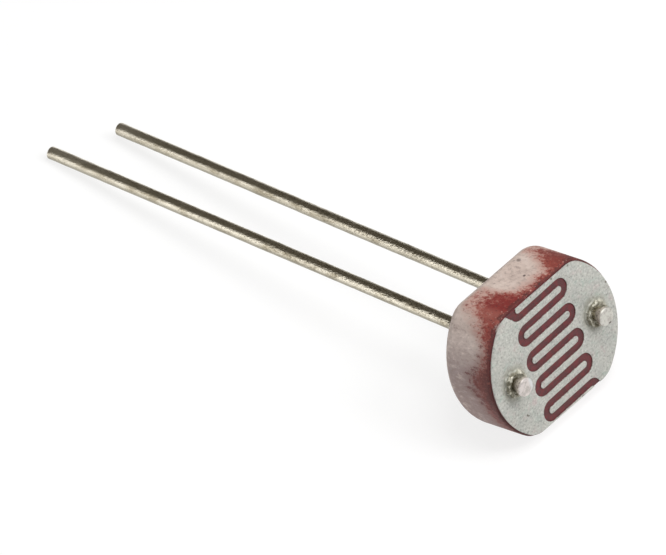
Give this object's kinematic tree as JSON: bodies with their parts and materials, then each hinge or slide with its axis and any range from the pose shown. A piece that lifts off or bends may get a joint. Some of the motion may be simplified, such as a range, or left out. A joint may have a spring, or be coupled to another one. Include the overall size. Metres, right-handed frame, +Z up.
{
  "type": "photoresistor",
  "caption": "Light-dependent resistor: round ceramic head with flats, a winding light-sensitive track between comb electrodes, and wire leads.",
  "frame": {"origin": "on the surface it lies on, under the middle of its bounding box", "axes": "+Y along the leads from the face to their tips, +Z up from the surface it lies on, +X to the right of someone who looks at the face"},
  "size_m": [0.0052, 0.019, 0.0044],
  "materials": {
    "ceramic": "bare pressed ceramic, dusted red-brown near the face",
    "film": "matte red-brown sintered film",
    "electrode": "matte, finely grained metal film",
    "paste": "rough metallic paste",
    "wire": "tinned wire with fine scratches"
  },
  "bodies": {
    "root": {"ceramic_body": "ceramic", "photoconductive_film": "film", "electrode_left": "electrode", "electrode_right": "electrode", "contact_left": "paste", "contact_right": "paste", "lead_left": "wire", "lead_right": "wire"}
  },
  "joints": []
}
